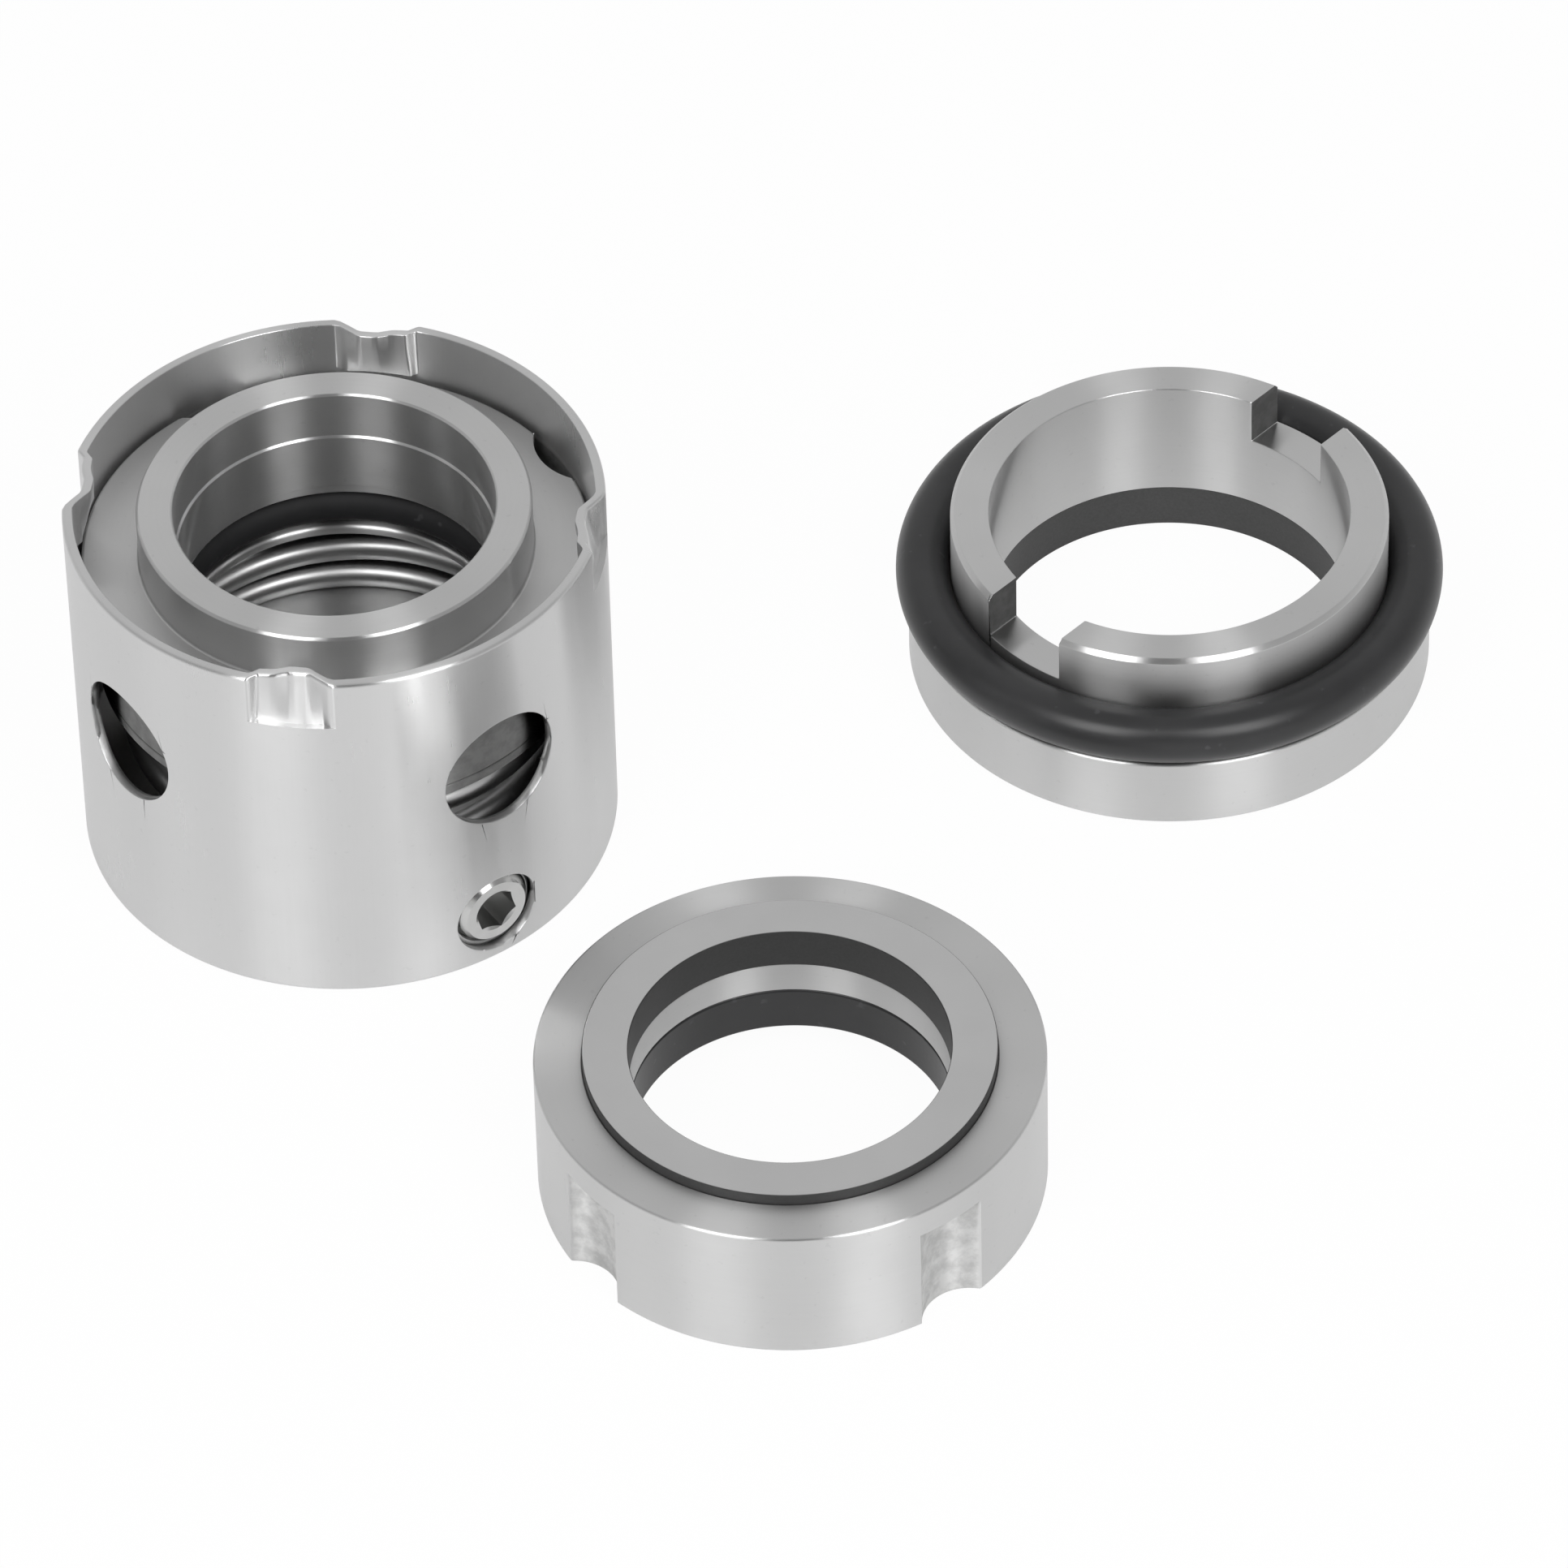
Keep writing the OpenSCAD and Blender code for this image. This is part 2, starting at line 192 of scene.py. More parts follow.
class CarrierSizes(bpy.types.PropertyGroup):
    """Sizes of the carrier ring, its thrust ring and its O-ring"""

    bore: length("radius", "carrier's bore", 15.1)
    counter_bore: length("radius", "wider bore in the nose", 15.3)
    relief: length("radius", "relief over the O-ring groove", 15.25)
    groove: length("radius", "O-ring groove", 19.07)
    groove_height: length("height", "O-ring groove", 4.1)
    groove_chamfer: length("chamfer", "groove's upper edge", 0.6)
    relief_height: length("height", "relief over the groove", 1.6)
    skirt: length("radius", "skirt", 23.3)
    skirt_height: length("height", "skirt under the flange", 8.7)
    flange: length("radius", "flange", 24.2)
    flange_height: length("thickness", "flange", 2.95)
    nose: length("radius", "nose", 18.75)
    nose_chamfer: length("chamfer", "nose's outer edge", 0.25)
    mouth_chamfer: length("chamfer", "bore's mouth", 0.2)
    counter_depth: length("depth", "wider bore", 5.2)
    notch_angle: angle("first notch in the flange", 30)
    notch_radius: length("radius", "notches", 6.038)
    notch_axis: length("distance", "notches' axes from the shaft's", 28.538)
    thrust_bore: length("bore radius", "thrust ring", 15.4)
    cord_radius: length("radius", "shaft O-ring's cord", 2)
    cord_centre: length("radius", "cord's centreline", 17.02)


class FaceRingSizes(bpy.types.PropertyGroup):
    """Sizes of the rotary face ring"""

    holder: length("outside radius", "holder", 23.9)
    recess: length("radius", "recess below", 18.95)
    recess_depth: length("depth", "recess below", 8.3)
    pocket: length("radius", "insert's pocket", 19.37)
    pocket_depth: length("depth", "insert's pocket", 3.1)
    insert: length("outside radius", "face insert", 19.35)
    gasket: length("outside radius", "gasket", 18.9)
    notch_angle: angle("first drive notch", -52.5)
    notch_depth: length("depth", "drive notches", 2.15)
    notch_half: length("half width", "drive notches", 3.75)
    notch_height: length("height", "drive notches", 11.8)


class SeatSizes(bpy.types.PropertyGroup):
    """Sizes of the stationary seat"""

    flange: length("radius", "flange", 25.4)
    flange_top: length("height", "flange's upper side", 8)
    nose: length("outside radius", "nose", 21.25)
    nose_chamfer: length("chamfer", "end face's outer edge", 0.45)
    pocket: length("radius", "insert's pocket", 21.02)
    insert: length("outside radius", "dark insert", 21)
    slot_width: length("width", "drive-pin slots", 9)
    slot_depth: length("depth", "drive-pin slots", 5)
    slot_angle: angle("first drive-pin slot", -44.6)
    cord_radius: length("radius", "seat O-ring's cord", 2.65)
    cord_centre: length("radius", "cord's centreline", 23.95)


class Finishes(bpy.types.PropertyGroup):
    """Colours of the pieces' finishes"""

    drawn: colour("Drawn steel", "Bright drawn sheet of the shell", 0.84, 0.84, 0.84)
    turned: colour("Turned steel", "Fine turned stainless steel", 0.68, 0.68, 0.675)
    screw: colour("Screw steel", "Plain stainless set screws", 0.6, 0.6, 0.595)
    wire: colour("Spring wire", "Drawn spring wire", 0.6, 0.6, 0.6)
    rubber: colour("Black rubber", "Smooth moulded rubber", 0.02, 0.02, 0.021)
    light_face: colour("Light lapped face", "Lapped hard-metal face", 0.62, 0.62, 0.62)
    raw_side: colour("Insert's raw sides", "Sides of the hard-metal insert as sintered", 0.03, 0.03, 0.03)
    dark_face: colour("Dark lapped face", "Lapped carbon", 0.05, 0.05, 0.05)
    floor: colour("Floor", "Pale floor and backdrop", 0.92, 0.92, 0.92)


class Wire:
    """An output socket of a node tree. Arithmetic on it adds Math nodes."""

    def __init__(self, tree, output=None):
        self.tree = tree
        self.output = output

    def add(self, kind, settings=None, inputs=None, output=0):
        """Adds a node, sets its settings and then its sockets, and returns one of its outputs."""
        node = self.tree.nodes.new(kind)
        for name, value in (settings or {}).items():
            if name == "stops":
                set_stops(node.color_ramp, value)
            else:
                setattr(node, name, value)
        for name, value in (inputs or {}).items():
            if isinstance(value, Wire):
                self.tree.links.new(value.output, node.inputs[name])
            else:
                node.inputs[name].default_value = value
        return Wire(self.tree, node.outputs[output])

    def end(self, kind):
        """Joins this shader to an output node."""
        output = self.tree.nodes.new(kind)
        self.tree.links.new(self.output, output.inputs["Surface"])

    def math(self, operation, first, second=0.0):
        return self.add("ShaderNodeMath", {"operation": operation}, {0: first, 1: second})

    def mix(self, factor, first, second):
        """Blends two colours by a factor."""
        return self.add("ShaderNodeMix", {"data_type": "RGBA"}, {0: factor, 6: first, 7: second}, 2)

    def split(self):
        """The X, Y and Z of this vector."""
        node = self.add("ShaderNodeSeparateXYZ", inputs={0: self}).output.node
        return [Wire(self.tree, output) for output in node.outputs]

    def beside(self, other):
        """The vector with this as its X and another value as its Y."""
        return self.add("ShaderNodeCombineXYZ", inputs={0: self, 1: other})

    def ramp(self, *stops):
        """Maps this value through stops of (position, grey)."""
        return self.add("ShaderNodeValToRGB", {"stops": stops}, {0: self})

    def rise(self, low, high):
        """0 below a low value of this, 1 above a high one, and even between them."""
        sockets = {"Value": self, "From Min": low, "From Max": high}
        return self.add("ShaderNodeMapRange", {"clamp": True}, sockets)

    def noise(self, scale, detail=2.0, roughness=0.5):
        """Noise over this vector, with features about 1/scale metres across."""
        sockets = {"Vector": self, "Scale": scale, "Detail": detail, "Roughness": roughness}
        return self.add("ShaderNodeTexNoise", {"noise_dimensions": "3D"}, sockets)

    def sway(self, amount):
        """This noise taken about zero, by an amount."""
        return (self - 0.5) * amount

    def bump(self, strength, depth):
        """The normal of this relief, at a strength and a depth in millimetres."""
        sockets = {"Strength": strength, "Distance": depth * MM, "Height": self}
        return self.add("ShaderNodeBump", inputs=sockets)

    def __add__(self, other):
        return self.math("ADD", self, other)

    def __sub__(self, other):
        return self.math("SUBTRACT", self, other)

    def __rsub__(self, other):
        return self.math("SUBTRACT", other, self)

    def __mul__(self, other):
        return self.math("MULTIPLY", self, other)


def set_stops(ramp, stops):
    """Sets a colour ramp's stops from (position, grey) pairs."""
    while len(ramp.elements) < len(stops):
        ramp.elements.new(1)
    for element, (position, grey) in zip(ramp.elements, stops):
        element.position = position
        element.color = (grey, grey, grey, 1)


def opaque(rgb, factor=1.0):
    """A colour property as a node's colour, brightened or darkened by a factor."""
    return tuple(min(1.0, part * factor) for part in rgb) + (1.0,)


def new_material(name):
    """An empty node material and the Wire that adds its nodes."""
    material = bpy.data.materials.new(name)
    material.use_nodes = True
    material.node_tree.nodes.clear()
    return material, Wire(material.node_tree)


def finish_material(material, wire, sockets):
    """Ends a material's nodes with one Principled surface and its output."""
    wire.add("ShaderNodeBsdfPrincipled", inputs=sockets).end("ShaderNodeOutputMaterial")
    return material


def round_coordinates(wire):
    """The piece's own coordinates as (place, distance from its upright axis, height, angle round it)."""
    place = wire.add("ShaderNodeTexCoord", output="Object")
    x, y, height = place.split()
    return place, wire.math("SQRT", x * x + y * y), height, wire.math("ARCTAN2", x, y)


# Places of a metal that are worn dull or that carry painted shade: their mask, their darkest and lightest
# shade as shares of the metal's colour, how metallic they still are, and how much rougher they are
WornOrShaded = namedtuple("WornOrShaded", "places darkest lightest shine coarser")


def metal(name, rgb, roughness, brushing, lines, bands=0.12, worn_or_shaded=None):
    """Bare steel with fine lines across the brushing, soft bands, faint smudges and a few small specks.

    lines turns distance, height and angle into the vector that the line noise is taken over.
    """
    material, wire = new_material(name)
    place, distance, height, turn = round_coordinates(wire)
    fine = lines(distance, height, turn).noise(1.0, 3.0, 0.6)
    clouds = place.noise(120.0, 4.0, 0.55)
    specks = place.noise(1500.0, 1.0, 0.5).ramp((0.70, 0.0), (0.78, 1.0))
    bands_a_radian, bands_a_metre = 1.9, 9.0
    band = (turn * bands_a_radian).beside(distance * bands_a_metre).noise(1.0, 1.0, 0.4)
    tone = band.sway(bands) + clouds.sway(0.10) + fine.sway(0.04) + 0.5
    shade = wire.mix(tone, opaque(rgb, 0.5), opaque(rgb, 1.5))
    shade = wire.mix(specks * 0.15, shade, opaque(rgb, 0.6))
    rough = fine.sway(0.04) + clouds.sway(0.08) + roughness
    relief = fine * 0.3 + clouds * 2.0
    shine = 1.0
    # Masked places get a darker, mottled colour: painted shade in the gap inside the shell and on the
    # seat's slot walls, and the rougher, duller metal of the holder's notches
    if worn_or_shaded:
        mask = worn_or_shaded.places(place, distance, height)
        pits = place.noise(700.0, 3.0, 0.6).ramp((0.35, 0.0), (0.6, 1.0))
        pitted_or_shaded = wire.mix(pits, opaque(rgb, worn_or_shaded.darkest), opaque(rgb, worn_or_shaded.lightest))
        shade = wire.mix(mask, shade, pitted_or_shaded)
        rough = rough + mask * worn_or_shaded.coarser
        relief = relief + mask * pits * 3.0
        shine = 1 - mask * (1 - worn_or_shaded.shine)
    sockets = {
        "Base Color": shade,
        "Metallic": shine,
        "Roughness": rough,
        "Anisotropic": brushing,
        "Anisotropic Rotation": 0.25,
        "Normal": relief.bump(0.35, 0.004),
    }
    return finish_material(material, wire, sockets)


def turned_lines(distance, height, _turn):
    """Lines left by a turning tool: rings on the faces, hoops on the walls."""
    lines_a_metre = 3200.0
    return (distance * lines_a_metre).beside(height * lines_a_metre)


def drawn_lines(_distance, height, turn):
    """Lines left by deep drawing, straight up the wall."""
    lines_a_radian, breaks_a_metre = 70.0, 60.0
    return (turn * lines_a_radian).beside(height * breaks_a_metre)


def wire_lines(_distance, height, turn):
    """Lines left by drawing the spring's wire, along it."""
    breaks_a_radian, lines_a_metre = 6.0, 2600.0
    return (turn * breaks_a_radian).beside(height * lines_a_metre)


def ring_space(distance, height, inner, outer, top_edge):
    """Mask of a ring-shaped space up to a height. Its limits are soft: (low, high) in millimetres."""
    past_inner, past_outer, above = (
        value.rise(low * MM, high * MM)
        for value, (low, high) in ((distance, inner), (distance, outer), (height, top_edge))
    )
    return past_inner * (1 - past_outer) * (1 - above)


def painted_shade_in_gap(_place, distance, height):
    """Mask of the narrow space between the shell and the carrier ring's skirt, below the flange, where
    shade is painted.
    """
    return ring_space(distance, height, (20, 21), (24.9, 25.3), (32.5, 33.2))


def rough_notches(_place, distance, height):
    """Mask of the face holder's notches: below their top and inside the holder's outer wall."""
    return ring_space(distance, height, (19.2, 20), (23.5, 23.8), (11.7, 11.9))


def slot_walls_painted_shade(place, distance, _height):
    """Mask of the upright faces that look along the hoop, which are the milled slots' walls, where shade is
    painted.
    """
    across, ahead, _ = place.add("ShaderNodeTexCoord", output="Normal").split()
    x, y, _ = place.split()
    along = place.math("DIVIDE", ahead * x - across * y, distance)
    return place.math("ABSOLUTE", along).rise(0.55, 0.75)


def rubber(name, rgb, roughness, gloss):
    """Smooth black rubber with a dusty bloom and a few light specks."""
    material, wire = new_material(name)
    place = wire.add("ShaderNodeTexCoord", output="Object")
    bloom = place.noise(90.0, 4.0, 0.6)
    grain = place.noise(2600.0, 2.0, 0.6)
    specks = place.noise(700.0, 2.0, 0.4).ramp((0.70, 0.0), (0.76, 1.0))
    shade = wire.mix(bloom.ramp((0.35, 0.0), (0.7, 1.0)), opaque(rgb, 0.85), opaque(rgb, 1.35))
    sockets = {
        "Base Color": wire.mix(specks * 0.5, shade, opaque(rgb, 3.5)),
        "Roughness": bloom * 0.1 + grain * 0.06 + roughness,
        "Specular IOR Level": gloss,
        "Normal": (grain + bloom).bump(0.3, 0.01),
    }
    return finish_material(material, wire, sockets)


def lapped_face(name, face_rgb, side_rgb, metallic, roughness, up):
    """An insert that is lapped on its face only, which looks up (1) or down (-1). Its sides stay raw."""
    material, wire = new_material(name)
    place = wire.add("ShaderNodeTexCoord", output="Object")
    upward = wire.add("ShaderNodeTexCoord", output="Normal").split()[2]
    lapped = (upward * up).ramp((0.80, 0.0), (0.95, 1.0))
    grain = place.noise(3500.0, 2.0, 0.6)
    clouds = place.noise(150.0, 3.0, 0.5)
    face = wire.mix(clouds, opaque(face_rgb, 0.94), opaque(face_rgb, 1.05))
    side = wire.mix(grain, opaque(side_rgb, 0.7), opaque(side_rgb, 1.3))
    raw_roughness = 0.5
    sockets = {
        "Base Color": wire.mix(lapped, side, face),
        "Metallic": lapped * metallic,
        "Roughness": raw_roughness - lapped * (raw_roughness - roughness) + clouds.sway(0.08),
        "Normal": (grain * (1 - lapped * 0.9)).bump(0.5, 0.006),
    }
    return finish_material(material, wire, sockets)


def finish_of(finishes, kind):
    """The finish of a kind, made when it is first asked for."""
    name = f"{kind}_finish"
    if name in bpy.data.materials:
        return bpy.data.materials[name]
    # Painted shade on the carrier's skirt and thrust ring, in the gap inside the shell
    skirt = WornOrShaded(painted_shade_in_gap, darkest=0.4, lightest=0.5, shine=1.0, coarser=0.2)
    # Painted shade on the shell's inner wall below the flange
    inner_wall_shade = WornOrShaded(painted_shade_in_gap, darkest=0.2, lightest=0.3, shine=1.0, coarser=0.3)
    notches = WornOrShaded(rough_notches, darkest=0.85, lightest=1.1, shine=0.35, coarser=0.3)
    # Painted shade and dark reflection on the seat's slot walls
    slots = WornOrShaded(slot_walls_painted_shade, darkest=0.3, lightest=0.38, shine=1.0, coarser=0.3)
    turned_steel = (metal, finishes.turned, 0.3, 1.0, turned_lines)
    # Each maker with the values that it takes after the name
    makers = {
        "drawn_steel": (metal, finishes.drawn, 0.29, 1.0, drawn_lines, 0.28, inner_wall_shade),
        "turned_steel": turned_steel,
        "carrier_steel": (*turned_steel, 0.12, skirt),
        "holder_steel": (*turned_steel, 0.24, notches),
        "seat_steel": (*turned_steel, 0.12, slots),
        "screw_steel": (metal, finishes.screw, 0.24, 0.4, turned_lines),
        "spring_wire": (metal, finishes.wire, 0.36, 0.0, wire_lines),
        "black_rubber": (rubber, finishes.rubber, 0.24, 0.5),
        "dull_rubber": (rubber, finishes.rubber, 0.5, 0.2),
        "light_lapped_face": (lapped_face, finishes.light_face, finishes.raw_side, 1.0, 0.22, 1),
        "dark_lapped_face": (lapped_face, finishes.dark_face, finishes.dark_face, 0.0, 0.25, -1),
    }
    maker, *values = makers[kind]
    return maker(name, *values)


def polar(turn, radius, height):
    """The point at an angle, a radius and a height."""
    return radius * math.sin(turn), -radius * math.cos(turn), height


def spaced(first, count):
    """Angles spaced evenly all round, from a first one."""
    return [first + k * TAU / count for k in range(count)]


def rounded(*corners):
    """Points of a closed half section, given as corners (radius, height, rounding in millimetres)."""
    points = []
    for index, (radius, height, rounding) in enumerate(corners):
        corner = Vector((radius, height))
        if not rounding:
            points.append(corner)
            continue
        back = (Vector(corners[index - 1][:2]) - corner).normalized()
        ahead = (Vector(corners[(index + 1) % len(corners)][:2]) - corner).normalized()
        half = back.angle(ahead) / 2
        arc = rounding * MM
        reach = arc / math.tan(half)
        centre = corner + (back + ahead).normalized() * (arc / math.sin(half))
        first = (corner + back * reach - centre).normalized()
        last = (corner + ahead * reach - centre).normalized()
        count = max(1, round(CORNER_STEPS * first.angle(last) / (math.pi / 2)))
        points += [centre + first.slerp(last, k / count) * arc for k in range(count + 1)]
    return points


def circle(radius, height, cord, sides):
    """Round section of a cord at a radius and height."""
    return [
        (radius + cord * math.cos(turn), height + cord * math.sin(turn)) for turn in spaced(0, sides)
    ]


def mesh_from(name, vertices, faces):
    """A closed mesh with its faces turned outwards."""
    mesh = bpy.data.meshes.new(name)
    mesh.from_pydata(vertices, [], faces)
    work = bmesh.new()
    work.from_mesh(mesh)
    bmesh.ops.remove_doubles(work, verts=work.verts, dist=1e-8)
    bmesh.ops.recalc_face_normals(work, faces=work.faces)
    work.to_mesh(mesh)
    work.free()
    return mesh


def skin(name, columns, open_section=False):
    """A mesh over columns of points all round. An open section's first and last points aren't joined."""
    rows = len(columns[0])
    faces = []
    for k in range(len(columns)):
        here, there = k * rows, (k + 1) % len(columns) * rows
        for i in range(rows - 1 if open_section else rows):
            j = (i + 1) % rows
            faces.append((here + i, there + i, there + j, here + j))
    return mesh_from(name, [point for column in columns for point in column], faces)


def turned(name, section, steps=ROUND_STEPS, open_section=False):
    """A mesh turned from a half section."""
    columns = [[polar(turn, *point) for point in section] for turn in spaced(0, steps)]
    return skin(name, columns, open_section)


def ring_mesh(name, inner, outer, low, high, roundings):
    """A turned ring of rectangular section, with roundings from the foot of its bore outwards and up."""
    corners = ((inner, low), (outer, low), (outer, high), (inner, high))
    section = rounded(*((*corner, rounding) for corner, rounding in zip(corners, roundings)))
    return turned(name, section)


def about(turn, radius=0.0, height=0.0):
    """Matrix that turns about Z to an angle, then goes out to a radius and up to a height."""
    return Matrix.Rotation(turn, 4, "Z") @ Matrix.Translation((0, -radius, height))


def outward(turn, radius, height):
    """As about, with the local Z axis along the radius, outwards."""
    return about(turn, radius, height) @ Matrix.Rotation(math.pi / 2, 4, "X")


def rod(radius, depth, matrix, sides=CUTTER_SIDES, end_radius=None):
    """A cutter from local Z = 0 up to its depth, straight or conical."""
    work = bmesh.new()
    radii = {"radius1": radius, "radius2": radius if end_radius is None else end_radius}
    middle = matrix @ Matrix.Translation((0, 0, depth / 2))
    bmesh.ops.create_cone(work, cap_ends=True, segments=sides, depth=depth, matrix=middle, **radii)
    return work


def block(size, matrix):
    """A box cutter centred on its matrix."""
    work = bmesh.new()
    bmesh.ops.create_cube(work, size=1, matrix=matrix @ Matrix.Diagonal((*size, 1)))
    return work


def applied(obj):
    """Gives an object the mesh that its modifiers make, and removes the modifiers."""
    bpy.context.view_layer.update()
    graph = bpy.context.evaluated_depsgraph_get()
    old = obj.data
    obj.data = bpy.data.meshes.new_from_object(obj.evaluated_get(graph), depsgraph=graph)
    obj.modifiers.clear()
    bpy.data.meshes.remove(old)


def cut(obj, *cutters):
    """Cuts the cutters, given in the object's own space, out of an object."""
    mesh = bpy.data.meshes.new("cutter")
    joined = bmesh.new()
    for cutter in cutters:
        cutter.to_mesh(mesh)
        joined.from_mesh(mesh)
        cutter.free()
    joined.to_mesh(mesh)
    joined.free()
    tool = bpy.data.objects.new("cutter", mesh)
    tool.matrix_world = obj.matrix_world
    bpy.context.scene.collection.objects.link(tool)
    modifier = obj.modifiers.new("cut", "BOOLEAN")
    modifier.operation = "DIFFERENCE"
    modifier.solver = "EXACT"
    modifier.object = tool
    applied(obj)
    bpy.data.objects.remove(tool)
    bpy.data.meshes.remove(mesh)


def placed(name, mesh, matrix=None):
    """A new object with a mesh, at a place."""
    obj = bpy.data.objects.new(name, mesh)
    bpy.context.scene.collection.objects.link(obj)
    if matrix is not None:
        obj.matrix_world = matrix
    bpy.context.view_layer.update()
    return obj


def edged(obj, width, low, high, longest=math.inf):
    """Rounds the sharp edges that cuts have left between two heights, up to a longest edge."""
    work = bmesh.new()
    work.from_mesh(obj.data)
    bmesh.ops.dissolve_degenerate(work, edges=work.edges, dist=width / 8)
    weights = work.edges.layers.float.new("bevel_weight_edge")
    for edge in work.edges:
        heights = [vertex.co.z for vertex in edge.verts]
        inside = low < min(heights) and max(heights) < high and edge.calc_length() < longest
        if inside and edge.calc_face_angle(0) > EDGE_ANGLE:
            edge[weights] = 1
    work.to_mesh(obj.data)
    work.free()
    bevel = obj.modifiers.new("edges", "BEVEL")
    bevel.limit_method = "WEIGHT"
    bevel.width = width
    bevel.segments = 2
    bevel.use_clamp_overlap = False
    applied(obj)


def dressed(obj, body, slot, *nodes, kind=None):
    """Shades an object, and puts it on its body in the place of its CAD nodes."""
    obj.data.shade_smooth()
    obj.data.set_sharp_from_angle(angle=SHARP_ANGLE)
    weighted = obj.modifiers.new("normals", "WEIGHTED_NORMAL")
    weighted.keep_sharp = True
    obj.data.materials.clear()
    obj.data.materials.append(finish_of(bpy.context.scene.seal_finishes, kind or slot))
    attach(obj, body)
    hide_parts(*nodes)


def true_walls(obj, walls):
    """Gives the corners on upright round walls the walls' own normals, so that cuts leave no shading there.

    walls is a list of (radius, side), with side 1 for a wall that looks outwards and -1 for a bore.
    """
    applied(obj)
    mesh = obj.data
    tolerance, least_facing = 0.002 * MM, 0.6
    normals = [corner.vector.copy() for corner in mesh.corner_normals]
    for face in mesh.polygons:
        for index in face.loop_indices:
            place = mesh.vertices[mesh.loops[index].vertex_index].co
            out = Vector((place.x, place.y, 0))
            normal = out.normalized()
            for radius, side in walls:
                on_wall = abs(out.length - radius) < tolerance
                if on_wall and face.normal.dot(normal) * side > least_facing:
                    normals[index] = normal * side
    mesh.normals_split_custom_set(normals)


# A crimp's depth at the rim, as the tool's flats left it: (place along it from -1 to 1, share of the
# full depth)
CRIMP_FLATS = (
    (-1.0, 0.0),
    (-0.94, 0.08),
    (-0.78, 0.5),
    (-0.48, 0.62),
    (-0.36, 0.7),
    (-0.08, 0.97),
    (0.05, 1.0),
    (0.34, 0.98),
    (0.44, 0.9),
    (0.86, 0.14),
    (1.0, 0.0),
)


def crimp_inset(shell, turn, rise):
    """How far the rim is pressed in at an angle, from the lanced foot (rise 0) to the top (rise 1)."""
    pitch = TAU / shell.crimp_count
    offset = (turn - shell.crimp_angle + pitch / 2) % pitch - pitch / 2
    place = offset * shell.radius / shell.crimp_half
    if abs(place) >= 1:
        return 0.0
    for (first, depth), (last, next_depth) in zip(CRIMP_FLATS, CRIMP_FLATS[1:]):
        if place <= last:
            share = depth + (next_depth - depth) * (place - first) / (last - first)
            break
    above = share * shell.crimp_depth
    foot = min(above, shell.crimp_foot)
    # The lean is steepest at the foot, and complete at four fifths of the rim's height
    lean = min(1.0, rise * 1.25) ** 0.8
    return foot + (above - foot) * lean


def shell_columns(shell):
    """Angles of the shell's columns, closer together where the crimps are."""
    in_crimp, between = 64, 72
    pitch = TAU / shell.crimp_count
    # Half a crimp and a little more, so that its first column stands on the round wall
    half = 1.02 * shell.crimp_half / shell.radius
    turns = []
    for middle in spaced(shell.crimp_angle, shell.crimp_count):
        turns += [middle - half + 2 * half * k / in_crimp for k in range(in_crimp)]
        turns += [middle + half + (pitch - 2 * half) * k / between for k in range(between)]
    return turns


def shell_mesh(shell, height):
    """The shell in one mesh: lip, bend and wall, and above the lanced cuts the rim with its crimps."""
    wall_rows, rim_rows = 12, 8
    lip_rounding, rim_inner_rounding = 0.15, 0.1
    outer, inner = shell.radius, shell.radius - shell.sheet
    lip = inner - shell.lip
    lance = height - shell.rim
    foot = shell.sheet + shell.bend
    straight_top = height - 2 * shell.rim_rounding
    wall = [lance + (foot - lance) * k / wall_rows for k in range(wall_rows)]
    base = rounded(
        (outer, foot, 0),
        (outer, 0, shell.bend / MM),
        (lip, 0, lip_rounding),
        (lip, shell.sheet, lip_rounding),
        (inner, shell.sheet, lip_rounding),
        (inner, foot, 0),
    )
    lower = [(outer, z) for z in wall] + base + [(inner, z) for z in reversed(wall)]
    steps = [lance + (straight_top - lance) * k / rim_rows for k in range(rim_rows + 1)]
    crown = rounded(
        (inner, straight_top, 0),
        (inner, height, rim_inner_rounding),
        (outer, height, shell.rim_rounding / MM),
        (outer, straight_top, 0),
    )
    rim = [(inner, z) for z in steps] + crown[1:-1] + [(outer, z) for z in reversed(steps)]
    vertices, faces, columns = [], [], []

    def added(points):
        """Adds a column of points and returns their numbers."""
        start = len(vertices)
        vertices.extend(points)
        return list(range(start, len(vertices)))

    for turn in shell_columns(shell):
        lanced = crimp_inset(shell, turn, 1) > 0
        below = added(polar(turn, r, z) for r, z in lower)
        if lanced:
            pressed = [(r - crimp_inset(shell, turn, (z - lance) / shell.rim), z) for r, z in rim]
            above = added(polar(turn, r, z) for r, z in pressed)
        else:
            above = [below[-1], *added(polar(turn, r, z) for r, z in rim[1:-1]), below[0]]
        columns.append((below, above, lanced))
    following = columns[1:] + columns[:1]
    for (below, above, lanced), (next_below, next_above, next_lanced) in zip(columns, following):
        for here, there in ((below, next_below), (above, next_above)):
            faces += [(here[i], there[i], there[i + 1], here[i + 1]) for i in range(len(here) - 1)]
            if lanced or next_lanced:
                faces.append((here[-1], there[-1], there[0], here[0]))
    return mesh_from("drive_shell", vertices, faces)


